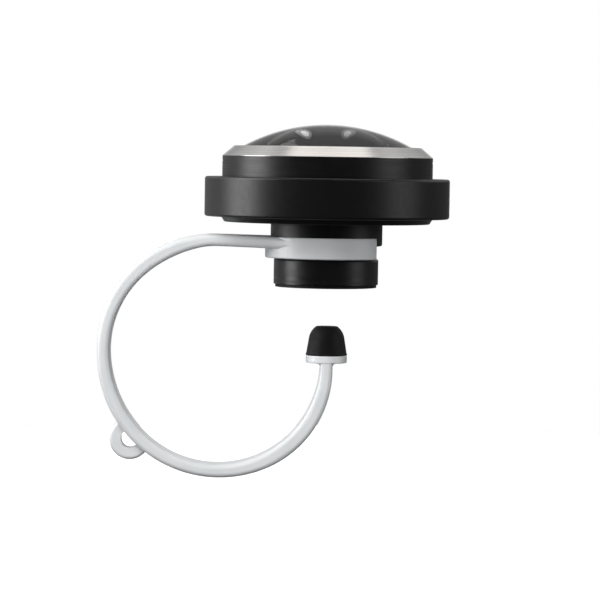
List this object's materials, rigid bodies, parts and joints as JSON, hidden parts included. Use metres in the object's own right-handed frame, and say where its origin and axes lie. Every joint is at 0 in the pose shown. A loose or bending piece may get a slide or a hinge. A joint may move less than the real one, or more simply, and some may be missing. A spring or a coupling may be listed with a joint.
{
  "type": "clip-on phone lens",
  "caption": "Clip-on wide-angle lens for a phone: domed glass in a black barrel with a grip ring, screwed to a white one-piece spring clip with a rubber foot.",
  "frame": {"origin": "centre of the seat that lies on the phone, on the lens axis", "axes": "+Z along the lens axis from the phone to the domed glass, -X towards the clip's loop, the loop lies in the XZ plane"},
  "size_m": [0.0629, 0.044, 0.0636],
  "materials": {
    "clip_plastic": "milky white polycarbonate, soft gloss",
    "soft_rubber": "black moulded silicone, satin",
    "black_anodised": "turned, black anodised, semi-gloss",
    "satin_black": "bead blasted, black anodised, satin",
    "silver_anodised": "turned, clear anodised, satin",
    "blackened_ring": "matt black against stray light",
    "optical_glass": "polished, coated"
  },
  "bodies": {
    "clip": {"clip_moulding": "clip_plastic"},
    "jaw": {"rubber_foot": "soft_rubber"},
    "base": {"seat_pad": "soft_rubber", "rear_mount": "black_anodised", "rear_lens": "optical_glass", "rear_lens_retainer": "blackened_ring"},
    "lens_head": {"rear_neck": "black_anodised", "fourth_lens": "optical_glass", "third_lens": "optical_glass", "pair_retainer": "blackened_ring", "aperture_stop": "blackened_ring", "front_barrel": "black_anodised", "grip_ring": "satin_black", "second_lens": "optical_glass", "front_spacer_ring": "blackened_ring", "front_dome_lens": "optical_glass", "dome_seal_ring": "soft_rubber", "bezel_ring": "silver_anodised"}
  },
  "joints": [
    {"name": "lens_turn", "type": "hinge", "parent": "clip", "child": "lens_head", "pos_m": [0, 0, 0], "axis": [0, 0, 1], "range_deg": [0, 720]},
    {"name": "base_travel", "type": "slide", "parent": "clip", "child": "base", "axis": [0, 0, -1], "range_m": [0, 0.001]},
    {"name": "clip_flex", "type": "hinge", "parent": "clip", "child": "jaw", "pos_m": [-0.04, 0, -0.013], "axis": [0, 1, 0], "range_deg": [-8, 8], "stiffness_Nm_per_rad": 0.8, "deforming": ["clip_moulding"]}
  ],
  "couplings": [
    {"joint": "base_travel", "follows": "lens_turn", "m_per_rad": 0.00007957}
  ]
}
